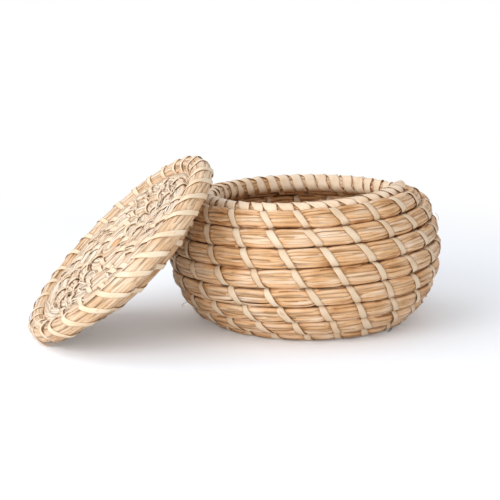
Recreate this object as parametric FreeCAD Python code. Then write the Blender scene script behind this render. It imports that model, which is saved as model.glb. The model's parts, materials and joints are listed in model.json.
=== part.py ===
# A round-bellied coiled basket with its loose lid leaning on it, for keeping tortillas warm.
# Bundles of grass stems are laid in turns, and flat strips of leaf bind each turn to the last.
# Millimetres, +Z up. The origin is the middle of the foot, on the surface that it stands on.
# The lid leans towards +X, on the basket's -X side.
import FreeCAD, Part
import math
import os
from FreeCAD import Matrix, Placement, Rotation, Vector

# Basket: one bundle, wound anticlockwise from above
coil_r = 7.5
course_pitch = 16.5
foot_cut = 0.5
foot_start_r = 69.3
wall_turns = 8
end_angle = -20.0
# Lean of the outline from upright, in degrees, at turns of the wall's bundle
wall_lean = [(0.0, 90.0), (0.4, 90.0), (1.2, 51.0), (6.2, -20.0), (8.0, -27.0)]
# How far the courses climb towards +X and +Y, at full height, per millimetre across
climb_x = 0.046
climb_y = 0.022
knot_r = 5.0
knot_height = 13.0

# Rim: a thinner bundle laid once round the mouth, inside and above the last course
rim_r = 6.4
rim_start_r = 90.0
rim_end_r = 82.5

# Lid: a flat spiral, a thick edge bundle round it, and a bundle under it that locates the mouth
lid_coil_r = 6.6
lid_pitch = 14.2
lid_edge_r = 8.5
lid_edge_centre_r = 95.5
lid_locating_r = 7.6
lid_locating_centre_r = 61.0
lid_splice_angle = 200.0
lid_tilt = 44.0
lid_centre_x = -169.3
lid_centre_y = -22.0

# Leaf strips
strip_width = 6.8
strip_thick = 0.4
strip_fit = 0.06
strip_slant = 33.0
whip_slant = 35.0
wall_strips_per_turn = 21.33
rim_strips = 43
base_strip_step = 27.0
lid_strip_step = 25.0
lid_edge_strips = 29
lid_locating_strips = 16

# Room between neighbouring bundles, which the strips pass through
bundle_gap = 1.0
splice_gap = 0.6
steps_per_turn = 200


# Outline of the wall

def lean_at(turn):
    for (t0, a0), (t1, a1) in zip(wall_lean, wall_lean[1:]):
        if turn <= t1:
            return math.radians(a0 + (a1 - a0) * (turn - t0) / (t1 - t0))
    return math.radians(wall_lean[-1][1])


def walk_outline():
    radius, height = foot_start_r, coil_r - foot_cut
    outline = [(radius, height)]
    step = course_pitch / steps_per_turn
    for i in range(wall_turns * steps_per_turn):
        lean = lean_at((i + 0.5) / steps_per_turn)
        radius += step * math.sin(lean)
        height += step * math.cos(lean)
        outline.append((radius, height))
    return outline


outline = walk_outline()
foot_height = outline[0][1]
wall_height = outline[-1][1] - foot_height


def along(rows, turn):
    place = min(max(turn, 0.0) * steps_per_turn, len(rows) - 1.0)
    i = min(int(place), len(rows) - 2)
    share = place - i
    return [a + (b - a) * share for a, b in zip(rows[i], rows[i + 1])]


def raised(radius, height, turn):
    angle = math.radians(end_angle + 360.0 * turn)
    x, y = radius * math.cos(angle), radius * math.sin(angle)
    share = (height - foot_height) / wall_height
    return Vector(x, y, height + share * (climb_x * x + climb_y * y))


def wall_point(turn):
    if turn < 0:
        return raised(foot_start_r + course_pitch * turn, foot_height, turn)
    radius, height = along(outline, turn)
    return raised(radius, height, turn)


def wall_lean_at(turn):
    return lean_at(max(turn, 0.0))


def rim_section(turn):
    radius = rim_start_r + (rim_end_r - rim_start_r) * (turn - wall_turns)
    below_r, below_z = along(outline, turn - 1)
    reach = rim_r + coil_r + bundle_gap
    return radius, below_z + math.sqrt(reach ** 2 - (below_r - radius) ** 2), below_r, below_z


def rim_point(turn):
    radius, height, _, _ = rim_section(turn)
    return raised(radius, height, turn)


def rim_lean_at(turn):
    radius, height, below_r, below_z = rim_section(turn)
    return math.atan2(radius - below_r, height - below_z)


# The lid's bundles, laid flat round the lid's own axis. They run clockwise from above.

lid_start_r = knot_r + bundle_gap + lid_coil_r
lid_end_r = lid_edge_centre_r - lid_edge_r - bundle_gap - lid_coil_r
lid_turns = (lid_end_r - lid_start_r) / lid_pitch
lid_locating_z = -(lid_coil_r + bundle_gap + lid_locating_r)


def lid_place(radius, turn, height):
    angle = math.radians(lid_splice_angle - 360.0 * turn)
    return Vector(radius * math.cos(angle), radius * math.sin(angle), height)


def lid_face_point(turn):
    return lid_place(lid_end_r + lid_pitch * turn, turn, 0.0)


def lid_edge_point(turn):
    return lid_place(lid_edge_centre_r, turn, 0.0)


def lid_locating_point(turn):
    return lid_place(lid_locating_centre_r, turn, lid_locating_z)


# Tubes

def direction(point_at, turn):
    d = 0.001
    return (point_at(turn + d) - point_at(turn - d)).normalize()


def arc_from(start, heading, end):
    chord = end - start
    bend = heading.cross(chord)
    if bend.Length < 1e-6 * chord.Length:
        return Part.LineSegment(start, end).toShape(), math.inf
    to_centre = bend.cross(heading).normalize()
    radius = chord.dot(chord) / (2 * chord.dot(to_centre))
    centre = start + to_centre * radius
    middle = centre + ((start + end) * 0.5 - centre).normalize() * radius
    return Part.Arc(start, middle, end).toShape(), radius


def biarc(p0, t0, p1, t1):
    v = p1 - p0
    a = v.dot(t0 + t1)
    b = 2 * (1 - t0.dot(t1))
    d = (-a + math.sqrt(a * a + b * v.dot(v))) / b
    joint = (p0 + t0 * d + p1 - t1 * d) * 0.5
    first, r0 = arc_from(p0, t0, joint)
    last, r1 = arc_from(p1, t1 * -1, joint)
    return [first, last], min(r0, r1)


def tube(name, point_at, first, last, radius):
    quarters = max(1, round((last - first) * 4))
    turns = [first + (last - first) * i / quarters for i in range(quarters + 1)]
    edges, tightest = [], math.inf
    for a, b in zip(turns, turns[1:]):
        pair, r = biarc(point_at(a), direction(point_at, a), point_at(b), direction(point_at, b))
        edges += pair
        tightest = min(tightest, r)
    path = Part.Wire(edges)
    ring = Part.Circle(point_at(first), direction(point_at, first), radius).toShape()
    shell = Part.BRepOffsetAPI.MakePipeShell(path)
    shell.add(Part.Wire([ring]))
    shell.build()
    shell.makeSolid()
    solid = shell.shape()
    expected = math.pi * radius ** 2 * path.Length
    if last - first > 1:
        gap = f"least gap to itself {least_gap(edges, radius):.2f}"
    else:
        gap = f"room between its ends {(point_at(first) - point_at(last)).Length:.2f}"
    print(f"{name}: length {path.Length:.0f}, tightest bend {tightest:.1f}, {gap}, "
          f"volume by section and length {solid.Volume / expected:.4f}")
    return solid


def least_gap(edges, radius):
    points = [p for edge in edges for p in edge.discretize(24)[:-1]]
    # A turn is eight arcs, so points under half a turn apart along the bundle are left out
    apart = 24 * 4
    return min(a.distanceToPoint(b) for i, a in enumerate(points) for b in points[i + apart:]) - 2 * radius


above_floor = Part.makeBox(600, 600, 300, Vector(-300, -300, 0))


# Leaf strips: a flat band drawn tight round one bundle, at a slant. In the band's own place
# X runs along the bundle, Y out of the basket and Z towards the course before.

def leaf_band(bundle_r, slant):
    inner = bundle_r + strip_fit
    length = 8 * bundle_r
    start = Vector(-length / 2, 0, 0)
    along_x = Vector(1, 0, 0)
    skin = Part.makeCylinder(inner + strip_thick, length, start, along_x).cut(
        Part.makeCylinder(inner, length, start, along_x))
    slab = Part.makeBox(strip_width, length, length, Vector(-strip_width / 2, -length / 2, -length / 2))
    slab.rotate(Vector(0, 0, 0), Vector(0, 1, 0), slant)
    return skin.common(slab).Solids[0]


def place_band(band, point_at, turn, outward):
    t = direction(point_at, turn)
    n = (outward - t * outward.dot(t)).normalize()
    b = t.cross(n)
    p = point_at(turn)
    placed = band.copy()
    placed.Placement = Placement(Matrix(t.x, n.x, b.x, p.x, t.y, n.y, b.y, p.y, t.z, n.z, b.z, p.z,
                                        0, 0, 0, 1))
    return placed


def basket_outward(turn, lean):
    angle = math.radians(end_angle + 360.0 * turn)
    return Vector(math.cos(lean) * math.cos(angle), math.cos(lean) * math.sin(angle), -math.sin(lean))


def by_length(point_at, first, last, step):
    turns, walked = [], step / 2
    count = int((last - first) * steps_per_turn)
    for i in range(count):
        a = first + (last - first) * i / count
        b = first + (last - first) * (i + 1) / count
        walked += (point_at(b) - point_at(a)).Length
        if walked >= step:
            walked -= step
            turns.append(b)
    return turns


def centre_knot(radius, bottom, height):
    knot = Part.makeCylinder(radius, height, Vector(0, 0, bottom))
    top = [e for e in knot.Edges if abs(e.BoundBox.ZMin - (bottom + height)) < 1e-6]
    return knot.makeFillet(radius * 0.5, top)


# Basket pieces

def make_basket():
    base_start = -(foot_start_r - (knot_r + bundle_gap + coil_r)) / course_pitch
    wall = tube("wall_coil", wall_point, 0.0, wall_turns, coil_r)
    splice = splice_gap / (2 * math.pi * foot_start_r)
    base = tube("base_coil", wall_point, base_start, -splice, coil_r)
    rim_splice = splice_gap / (2 * math.pi * rim_start_r)
    rim = tube("rim_coil", rim_point, wall_turns + rim_splice, wall_turns + 1.0, rim_r)
    pieces = {
        "base_centre_knot": centre_knot(knot_r, 0.0, knot_height),
        "base_coil": base.common(above_floor),
        "wall_coil": wall.common(above_floor),
        "rim_coil": rim,
    }
    band = leaf_band(coil_r, strip_slant)
    strips = []
    for turn in by_length(wall_point, base_start + 0.1, -0.05, base_strip_step):
        placed = place_band(band, wall_point, turn, basket_outward(turn, wall_lean_at(turn)))
        strips.append(placed.common(above_floor))
    pieces["base_stitching"] = Part.makeCompound(strips)
    for course in range(wall_turns):
        strips = []
        for i in range(int(wall_strips_per_turn * wall_turns)):
            turn = (i + 0.5) / wall_strips_per_turn
            if not course <= turn < course + 1:
                continue
            placed = place_band(band, wall_point, turn, basket_outward(turn, wall_lean_at(turn)))
            strips.append(placed if turn > 1 else placed.common(above_floor))
        pieces[f"wall_stitching_{course + 1}"] = Part.makeCompound(strips)
    rim_band = leaf_band(rim_r, whip_slant)
    strips = []
    for i in range(rim_strips):
        turn = wall_turns + (i + 0.5) / rim_strips
        strips.append(place_band(rim_band, rim_point, turn, basket_outward(turn, rim_lean_at(turn))))
    pieces["rim_whipping"] = Part.makeCompound(strips)
    return pieces


# Lid pieces, made flat and then leaned on the basket

def make_lid():
    up = Vector(0, 0, 1)
    splice = splice_gap / (2 * math.pi * lid_edge_centre_r)
    pieces = {
        "lid_centre_knot": centre_knot(knot_r, -lid_coil_r, 2 * lid_coil_r),
        "lid_face_coil": tube("lid_face_coil", lid_face_point, -lid_turns, 0.0, lid_coil_r),
        "lid_edge_coil": tube("lid_edge_coil", lid_edge_point, splice, 1.0, lid_edge_r),
        "lid_locating_coil": tube("lid_locating_coil", lid_locating_point, 2 * splice, 1.0, lid_locating_r),
    }
    band = leaf_band(lid_coil_r, strip_slant)
    turns = by_length(lid_face_point, 0.1 - lid_turns, -0.02, lid_strip_step)
    for ring in range(math.ceil(lid_turns)):
        own = [t for t in turns if ring <= t + lid_turns < ring + 1]
        pieces[f"lid_face_stitching_{ring + 1}"] = Part.makeCompound(
            [place_band(band, lid_face_point, t, up) for t in own])
    edge_band = leaf_band(lid_edge_r, whip_slant)
    pieces["lid_edge_whipping"] = Part.makeCompound(
        [place_band(edge_band, lid_edge_point, (i + 0.5) / lid_edge_strips, up)
         for i in range(lid_edge_strips)])
    locating_band = leaf_band(lid_locating_r, whip_slant)
    pieces["lid_locating_stitching"] = Part.makeCompound(
        [place_band(locating_band, lid_locating_point, (i + 0.5) / lid_locating_strips, up)
         for i in range(lid_locating_strips)])
    return pieces


def lean_lid(pieces):
    tilt = math.radians(lid_tilt)
    outside = lid_edge_r + strip_fit + strip_thick
    centre_z = lid_edge_centre_r * math.sin(tilt) + outside
    lean = Placement(Vector(lid_centre_x, lid_centre_y, centre_z), Rotation(Vector(0, 1, 0), -lid_tilt))
    print(f"lid centre {lid_centre_x:.1f}, {lid_centre_y:.1f}, {centre_z:.2f}")
    for name, piece in pieces.items():
        piece.Placement = lean.multiply(piece.Placement)
    return pieces


basket = make_basket()
lid = lean_lid(make_lid())
os.makedirs("parts", exist_ok=True)
for name, piece in {**basket, **lid}.items():
    box = piece.BoundBox
    print(f"{name}: {len(piece.Solids)} solids, valid {piece.isValid()}, volume {piece.Volume / 1000:.1f} cm3, "
          f"z {box.ZMin:.2f} to {box.ZMax:.2f}")
    piece.exportStep(f"parts/{name}.step")
gap = basket["wall_coil"].distToShape(lid["lid_locating_coil"])[0]
print(f"least gap between the wall's bundle and the lid's locating bundle: {gap:.2f}")
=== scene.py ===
import bisect
import json
import math
import random

import bpy
from mathutils import Matrix, Vector

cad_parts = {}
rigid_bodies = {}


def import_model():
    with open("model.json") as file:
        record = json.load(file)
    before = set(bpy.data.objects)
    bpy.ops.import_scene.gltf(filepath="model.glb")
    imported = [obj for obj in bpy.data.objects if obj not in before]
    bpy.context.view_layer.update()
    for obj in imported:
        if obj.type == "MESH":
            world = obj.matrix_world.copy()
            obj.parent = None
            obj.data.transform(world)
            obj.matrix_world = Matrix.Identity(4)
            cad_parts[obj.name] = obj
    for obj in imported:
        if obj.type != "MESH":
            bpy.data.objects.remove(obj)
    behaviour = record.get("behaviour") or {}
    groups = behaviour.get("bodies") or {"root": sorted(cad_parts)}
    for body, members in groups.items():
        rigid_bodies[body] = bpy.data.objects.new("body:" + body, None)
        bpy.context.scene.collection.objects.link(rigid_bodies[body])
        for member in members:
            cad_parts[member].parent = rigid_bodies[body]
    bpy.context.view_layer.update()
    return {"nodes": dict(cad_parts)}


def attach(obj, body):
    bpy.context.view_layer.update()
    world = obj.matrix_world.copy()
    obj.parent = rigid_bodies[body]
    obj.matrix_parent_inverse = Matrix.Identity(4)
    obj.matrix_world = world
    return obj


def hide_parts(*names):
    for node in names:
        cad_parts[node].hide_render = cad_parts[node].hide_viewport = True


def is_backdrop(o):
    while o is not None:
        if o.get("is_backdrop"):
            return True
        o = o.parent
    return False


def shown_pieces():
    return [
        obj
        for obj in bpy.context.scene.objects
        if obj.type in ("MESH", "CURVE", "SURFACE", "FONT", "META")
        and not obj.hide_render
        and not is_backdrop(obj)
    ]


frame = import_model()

mm = 0.001
print("frame loaded:", len(frame["nodes"]), "nodes")

# the basket's long bundle, in millimetres, as the solid model has it
basket = {
    "coilR": 7.5,
    "pitch": 16.5,
    "footCut": 0.5,
    "footStartR": 69.3,
    "turns": 8,
    "endAngle": -20.0,
    "lean": [(0.0, 90.0), (0.4, 90.0), (1.2, 51.0), (6.2, -20.0), (8.0, -27.0)],
    "climbX": 0.046,
    "climbY": 0.022,
    "stepsPerTurn": 200,
    "gap": 1.0,
    "rimR": 6.4,
    "rimStartR": 90.0,
    "rimEndR": 82.5,
    "knotR": 5.0,
    "innerTurn": -4.12,       # the bundle starts at the middle of the base, tucked in beside the knot
    "innerGirth": 5.0,        # near the middle its girth is this, and innerGrow times the radius more
    "innerGrow": 0.6,
    "innerRound": 0.06,       # share of a turn in which its start rounds off
    "innerBlunt": 0.6,
    "rimSettle": 0.2,         # share of a turn in which the wall's bundle sinks to the rim
    "rimLead": 0.1,           # how far before the wall's end that starts
    "rimTaper": 0.05,         # share of a turn in which the rim thins to its end
    "rimThin": 0.25,          # how much it thins there
    "rimRound": 0.012,        # share of a turn in which the end rounds off
    "rimBlunt": 0.98,
    "rimStop": 0.998,         # the track ends just short of a whole turn
}

# the lid's bundles, in millimetres, round the lid's own axis
lid = {
    "coilR": 6.6,
    "pitch": 14.2,
    "knotR": 5.0,
    "edgeR": 8.5,
    "edgeCentreR": 95.5,
    "locatingR": 7.6,
    "locatingCentreR": 61.0,
    "gap": 1.0,
    "spliceAngle": 200.0,
    "tilt": 44.0,
    "centreX": -169.3,
    "centreY": -22.0,
    "clearance": 0.46,
    "faceStartR": 3.0,
    "faceThin": 1.15,         # near the middle the bundle's girth is the radius over this
    "runOut": 0.93,           # share of a turn in which the face's bundle thins out at the edge
    "scarf": 0.03,            # share of a turn by which a ring's ends lap
    "scarfShift": 1.5,
    "scarfThin": 0.45,
}


# small functions that write node trees

def feed(tree, socket, value):
    if isinstance(value, bpy.types.NodeSocket):
        tree.links.new(value, socket)
    else:
        socket.default_value = value


def addNode(tree, kind, given=None, **settings):
    made = tree.nodes.new(kind)
    for key, value in settings.items():
        setattr(made, key, value)
    for key, value in (given or {}).items():
        feed(tree, made.inputs[key], value)
    return made


def nodeOut(tree, kind, given=None, **settings):
    return addNode(tree, kind, given, **settings).outputs[0]


def geoOut(tree, kind, given=None, **settings):
    return nodeOut(tree, "GeometryNode" + kind, given, **settings)


def calc(tree, operation, *values):
    return nodeOut(tree, "ShaderNodeMath", dict(enumerate(values)), operation=operation)


def times(tree, first, *others):
    for other in others:
        first = calc(tree, "MULTIPLY", first, other)
    return first


def seenRay(tree):            # 1 for what the camera sees, also in a mirror or through glass
    path = tree.nodes.new("ShaderNodeLightPath").outputs
    either = calc(tree, "MAXIMUM", path["Is Camera Ray"], path["Is Glossy Ray"])
    return calc(tree, "MAXIMUM", either, path["Is Transmission Ray"])


def showObject(name, data):
    shown = bpy.data.objects.new(name, data)
    bpy.context.scene.collection.objects.link(shown)
    return shown


# camera, lamps and floor

camera = {
    "azimuth": -13.0, "elevation": 11.1, "distance": 1.3, "lens": 104.6, "sensor": 36,
    "aimLeft": 0.049, "aimHeight": 0.0618,
}


def makeCamera():
    a, e = math.radians(camera["azimuth"]), math.radians(camera["elevation"])
    back = Vector((math.sin(a) * math.cos(e), -math.cos(a) * math.cos(e), math.sin(e)))
    right = Vector((math.cos(a), math.sin(a), 0))
    aim = Vector((0, 0, camera["aimHeight"])) - right * camera["aimLeft"]
    data = bpy.data.cameras.new("camera")
    data.lens = camera["lens"]
    data.sensor_width = camera["sensor"]
    view = showObject("camera", data)
    view.location = aim + back * camera["distance"]
    view.rotation_mode = "QUATERNION"
    view.rotation_quaternion = (-back).to_track_quat("-Z", "Y")
    bpy.context.scene.camera = view


makeCamera()
bpy.context.scene.view_settings.view_transform = "Standard"

# each lamp: place, what it points at, width, power
lamps = {
    "key": {"at": (-1.3, -0.95, 0.8), "aim": (-0.05, 0, 0.05), "size": 1.2, "power": 14.6},
    "fill": {"at": (-0.45, -1.5, 0.4), "aim": (-0.1, 0, 0.03), "size": 0.9, "power": 4.8},
    "top": {"at": (-0.85, 0.25, 1.3), "aim": (-0.05, 0, 0.0), "size": 1.4, "power": 5},
}
surroundings = {"strength": 0.64}


def makeLamps():
    for name, lamp in lamps.items():
        data = bpy.data.lights.new(name, "AREA")
        data.shape = "DISK"
        data.size = lamp["size"]
        data.energy = lamp["power"]
        light = showObject(name, data)
        light.location = lamp["at"]
        light.rotation_mode = "QUATERNION"
        light.rotation_quaternion = (Vector(lamp["aim"]) - Vector(lamp["at"])).to_track_quat("-Z", "Y")


def makeSurroundings():
    world = bpy.data.worlds.new("surroundings")
    bpy.context.scene.world = world
    world.use_nodes = True
    tree = world.node_tree
    tree.nodes.clear()
    white = (1, 1, 1, 1)
    lit = nodeOut(tree, "ShaderNodeBackground", {"Color": white, "Strength": surroundings["strength"]})
    seen = nodeOut(tree, "ShaderNodeBackground", {"Color": white, "Strength": 1})
    mixed = nodeOut(tree, "ShaderNodeMixShader", {0: seenRay(tree), 1: lit, 2: seen})
    addNode(tree, "ShaderNodeOutputWorld", {0: mixed})


paper = {
    "size": 6.0,
    "lighting": (0.95, 0.95, 0.95, 1),      # what lights the object
    "seen": (1.02, 1.06, 1.13, 1),          # what the camera sees
    "glow": 0.12,                           # share of plain white under the object
    "middle": (-0.05, 0.0, 0.0),
    "fadeFrom": 0.30,
    "fadeTo": 0.75,
}


def makeFloor():
    size = paper["size"]
    mesh = bpy.data.meshes.new("floor")
    corners = [(-size, -size, 0), (size, -size, 0), (size, size, 0), (-size, size, 0)]
    mesh.from_pydata(corners, [], [(0, 1, 2, 3)])
    floor = showObject("floor", mesh)
    paint = bpy.data.materials.new("white paper")
    paint.use_nodes = True
    tree = paint.node_tree
    tree.nodes.clear()
    seen = seenRay(tree)
    tone = addNode(tree, "ShaderNodeMix", data_type="RGBA")
    for place, value in ((0, seen), (6, paper["lighting"]), (7, paper["seen"])):
        feed(tree, tone.inputs[place], value)
    diffuse = nodeOut(tree, "ShaderNodeBsdfDiffuse", {"Color": tone.outputs[2]})

    # away from the object the paper fades to plain white
    place = tree.nodes.new("ShaderNodeTexCoord").outputs["Object"]
    away = addNode(tree, "ShaderNodeVectorMath", {0: place, 1: paper["middle"]}, operation="DISTANCE")
    fade = nodeOut(tree, "ShaderNodeMapRange", {
        "Value": away.outputs["Value"], "From Min": paper["fadeFrom"], "From Max": paper["fadeTo"],
        "To Min": paper["glow"],
    }, interpolation_type="SMOOTHSTEP")
    plain = nodeOut(tree, "ShaderNodeEmission")
    mixed = nodeOut(tree, "ShaderNodeMixShader", {0: times(tree, fade, seen), 1: diffuse, 2: plain})
    addNode(tree, "ShaderNodeOutputMaterial", {0: mixed})
    mesh.materials.append(paint)
    floor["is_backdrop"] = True


makeLamps()
makeSurroundings()
makeFloor()
print("camera, lamps and floor made")


# routes of the bundles: the same rules as the solid model's

def leanAt(turn):
    for (t0, a0), (t1, a1) in zip(basket["lean"], basket["lean"][1:]):
        if turn <= t1:
            return math.radians(a0 + (a1 - a0) * (max(turn, 0.0) - t0) / (t1 - t0))
    return math.radians(basket["lean"][-1][1])


def walkOutline():
    radius, height = basket["footStartR"], basket["coilR"] - basket["footCut"]
    rows = [(radius, height)]
    step = basket["pitch"] / basket["stepsPerTurn"]
    for i in range(basket["turns"] * basket["stepsPerTurn"]):
        lean = leanAt((i + 0.5) / basket["stepsPerTurn"])
        radius += step * math.sin(lean)
        height += step * math.cos(lean)
        rows.append((radius, height))
    return rows


outline = walkOutline()
footHeight = outline[0][1]
wallHeight = outline[-1][1] - footHeight


def outlineAt(turn):
    place = max(turn, 0.0) * basket["stepsPerTurn"]
    last = len(outline) - 1
    if place > last:     # past the wall's end the outline runs straight on
        more = (place - last) * basket["pitch"] / basket["stepsPerTurn"]
        lean = leanAt(basket["turns"])
        return outline[-1][0] + more * math.sin(lean), outline[-1][1] + more * math.cos(lean)
    i = min(int(place), last - 1)
    share = place - i
    return [a + (b - a) * share for a, b in zip(outline[i], outline[i + 1])]


def raised(radius, height, turn):
    angle = math.radians(basket["endAngle"] + 360 * turn)
    x, y = radius * math.cos(angle), radius * math.sin(angle)
    share = (height - footHeight) / wallHeight
    return Vector((x, y, height + share * (basket["climbX"] * x + basket["climbY"] * y)))


# how the girth of the wall's bundle swells and shrinks: each wave's number per turn, and its start
swells = {"size": 0.06, "waves": ((2.3, 0.4), (5.1, 1.9), (8.7, 4.2))}


def swell(turn):
    waves = [math.sin(math.tau * turn * rate + start) for rate, start in swells["waves"]]
    return 1 + swells["size"] * sum(waves) / len(waves)


def smooth(share):
    share = min(max(share, 0.0), 1.0)
    return share * share * (3 - 2 * share)


def rimSettled(turn):
    return smooth((turn - basket["turns"] + basket["rimLead"]) / basket["rimSettle"])


def onWall(turn):
    return turn <= basket["turns"] - basket["rimLead"]


def rimSection(turn):
    start, end = basket["rimStartR"], basket["rimEndR"]
    radius = start + (end - start) * (turn - basket["turns"])
    belowR, belowZ = outlineAt(turn - 1)
    reach = basket["rimR"] + basket["coilR"] + basket["gap"]
    height = belowZ + math.sqrt(reach ** 2 - (belowR - radius) ** 2)
    settled = rimSettled(turn)
    wallR, wallZ = outlineAt(turn)
    radius = wallR + (radius - wallR) * settled
    height = wallZ + (height - wallZ) * settled
    return radius, height, math.atan2(radius - belowR, height - belowZ)


def basketPoint(turn):
    if turn < 0:
        return raised(basket["footStartR"] + basket["pitch"] * turn, footHeight, turn)
    if onWall(turn):
        return raised(*outlineAt(turn), turn)
    return raised(*rimSection(turn)[:2], turn)


def basketOutward(turn):
    lean = leanAt(turn) if onWall(turn) else rimSection(turn)[2]
    angle = math.radians(basket["endAngle"] + 360 * turn)
    return Vector((math.cos(lean) * math.cos(angle), math.cos(lean) * math.sin(angle), -math.sin(lean)))


def basketGirth(turn):
    if turn < 0:
        radius = basket["footStartR"] + basket["pitch"] * turn
        whole = smooth((turn - basket["innerTurn"]) / basket["innerRound"])
        blunt = basket["innerBlunt"] + (1 - basket["innerBlunt"]) * whole
        return min(basket["coilR"], basket["innerGirth"] + basket["innerGrow"] * radius) * blunt
    if onWall(turn):
        return basket["coilR"] * swell(turn)
    settled = rimSettled(turn)
    left = basket["turns"] + 1 - turn
    taper = 1 - basket["rimThin"] * smooth(1 - left / basket["rimTaper"])
    blunt = min(max(1 - left / basket["rimRound"], 0.0), basket["rimBlunt"])
    girth = basket["coilR"] * swell(turn)
    return (girth + (basket["rimR"] - girth) * settled) * taper * math.sqrt(1 - blunt ** 2)


lidEndR = lid["edgeCentreR"] - lid["edgeR"] - lid["gap"] - lid["coilR"]
lidStartR = lid["knotR"] + lid["gap"] + lid["coilR"]
lidTurns = (lidEndR - lidStartR) / lid["pitch"]
lidInnerTurn = -(lidEndR - lid["faceStartR"]) / lid["pitch"]
lidLocatingZ = -(lid["coilR"] + lid["gap"] + lid["locatingR"])
tilt = math.radians(lid["tilt"])
lidCentreZ = lid["edgeCentreR"] * math.sin(tilt) + lid["edgeR"] + lid["clearance"]
lidPlace = Matrix.Translation((lid["centreX"], lid["centreY"], lidCentreZ)) @ Matrix.Rotation(-tilt, 4, "Y")
lidUp = lidPlace.to_3x3() @ Vector((0, 0, 1))


def lidPoint(radius, turn, height):
    angle = math.radians(lid["spliceAngle"] - 360 * turn)
    return lidPlace @ Vector((radius * math.cos(angle), radius * math.sin(angle), height))


def facePoint(turn):
    grow = lid["pitch"] if turn < 0 else lid["pitch"] / 2
    return lidPoint(lidEndR + grow * turn, turn, 0)


def faceGirth(turn):
    radius = lidEndR + lid["pitch"] * turn
    if turn < 0:
        return min(lid["coilR"], radius / lid["faceThin"])
    return min(lid["coilR"], lid["pitch"] / 2 * (1 - turn))


def ringPoint(centreR, height):
    def pointAt(turn):
        lap = smooth(1 - turn / lid["scarf"]) - smooth((turn - 1) / lid["scarf"] + 1)
        return lidPoint(centreR + lid["scarfShift"] * lap, turn, height)
    return pointAt


def ringGirth(radius):
    def girthAt(turn):
        start = smooth(0.5 + turn / lid["scarf"] / 2)
        end = smooth(0.5 + (1 - turn) / lid["scarf"] / 2)
        return radius * (lid["scarfThin"] + (1 - lid["scarfThin"]) * start * end)
    return girthAt


def lidOutward(turn):
    return lidUp


# a station is a place on a route, with its heading, its outward direction and its side direction;
# a track is a bundle's whole route: its stations, how far along it each is, and where its strips go
trackSteps = {
    "spacing": 3.5, "leastPerTurn": 48, "roughSteps": 60, "headingStep": 0.002, "stitchPerTurn": 200,
}


def station(pointAt, outwardAt, turn):
    step = trackSteps["headingStep"]
    t = (pointAt(turn + step) - pointAt(turn - step)).normalized()
    out = outwardAt(turn)
    n = (out - t * out.dot(t)).normalized()
    return pointAt(turn) * mm, t, n, t.cross(n)


def sectionTurns(pointAt, first, last):
    steps = trackSteps["roughSteps"]
    rough = [pointAt(first + (last - first) * i / steps) for i in range(steps + 1)]
    length = sum((b - a).length for a, b in zip(rough, rough[1:]))
    count = math.ceil(max(length / trackSteps["spacing"], (last - first) * trackSteps["leastPerTurn"]))
    return [first + (last - first) * i / count for i in range(count)]


def layTrack(pointAt, outwardAt, girthAt, ends, stitchTurns):
    turns = []
    for first, last in zip(ends, ends[1:]):
        turns += sectionTurns(pointAt, first, last)
    turns.append(ends[-1])
    rows = [station(pointAt, outwardAt, t) for t in turns]
    reach = [0.0]
    for a, b in zip(rows, rows[1:]):
        reach.append(reach[-1] + (b[0] - a[0]).length)
    stitches = []
    for turn in stitchTurns:
        i = min(max(bisect.bisect_right(turns, turn) - 1, 0), len(turns) - 2)
        share = (turn - turns[i]) / (turns[i + 1] - turns[i])
        stitches.append(reach[i] + (reach[i + 1] - reach[i]) * share)
    return {
        "pointAt": pointAt, "outwardAt": outwardAt, "girthAt": girthAt,
        "turns": turns, "rows": rows, "reach": reach, "stitches": stitches, "stitchTurns": stitchTurns,
    }


def byLength(pointAt, first, last, step):
    turns, walked = [], step / 2
    count = int((last - first) * trackSteps["stitchPerTurn"])
    for i in range(count):
        a = first + (last - first) * i / count
        b = first + (last - first) * (i + 1) / count
        walked += (pointAt(b) - pointAt(a)).length
        if walked >= step:
            walked -= step
            turns.append(b)
    return turns


def vectorCalc(tree, operation, a, b=None, scale=None):
    made = addNode(tree, "ShaderNodeVectorMath", {0: a}, operation=operation)
    if b is not None:
        feed(tree, made.inputs[1], b)
    if scale is not None:
        feed(tree, made.inputs["Scale"], scale)
    return made.outputs[0]


def alongBoth(tree, ways, parts):
    scaled = [vectorCalc(tree, "SCALE", way, scale=part) for way, part in zip(ways, parts)]
    return vectorCalc(tree, "ADD", *scaled)


def readAttribute(tree, name, kind="FLOAT"):
    return geoOut(tree, "InputNamedAttribute", {"Name": name}, data_type=kind)


def storeAttribute(tree, geometry, name, value):
    given = {"Geometry": geometry, "Name": name, "Value": value}
    return geoOut(tree, "StoreNamedAttribute", given, data_type="FLOAT")


def randomOf(tree, low, high, ident, seed):
    return addNode(tree, "FunctionNodeRandomValue", {2: low, 3: high, "ID": ident, "Seed": seed},
                   data_type="FLOAT").outputs[1]


def ripple(tree, place, perMetre, shift):
    moved = calc(tree, "MULTIPLY_ADD", place, perMetre, shift)
    given = {"W": moved, "Scale": 1.0, "Detail": 1.5}
    return nodeOut(tree, "ShaderNodeTexNoise", given, noise_dimensions="1D")


def startTree(name, sockets):
    tree = bpy.data.node_groups.new(name, "GeometryNodeTree")
    tree.interface.new_socket("Geometry", in_out="OUTPUT", socket_type="NodeSocketGeometry")
    tree.interface.new_socket("Geometry", in_out="INPUT", socket_type="NodeSocketGeometry")
    for label, kind in sockets.items():
        tree.interface.new_socket(label, in_out="INPUT", socket_type="NodeSocket" + kind)
    given = tree.nodes.new("NodeGroupInput").outputs
    return tree, given, tree.nodes.new("NodeGroupOutput").inputs["Geometry"]


lowest = {"stems": 0.0002, "strips": 0.0001}      # how near the floor they come, in metres


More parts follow.
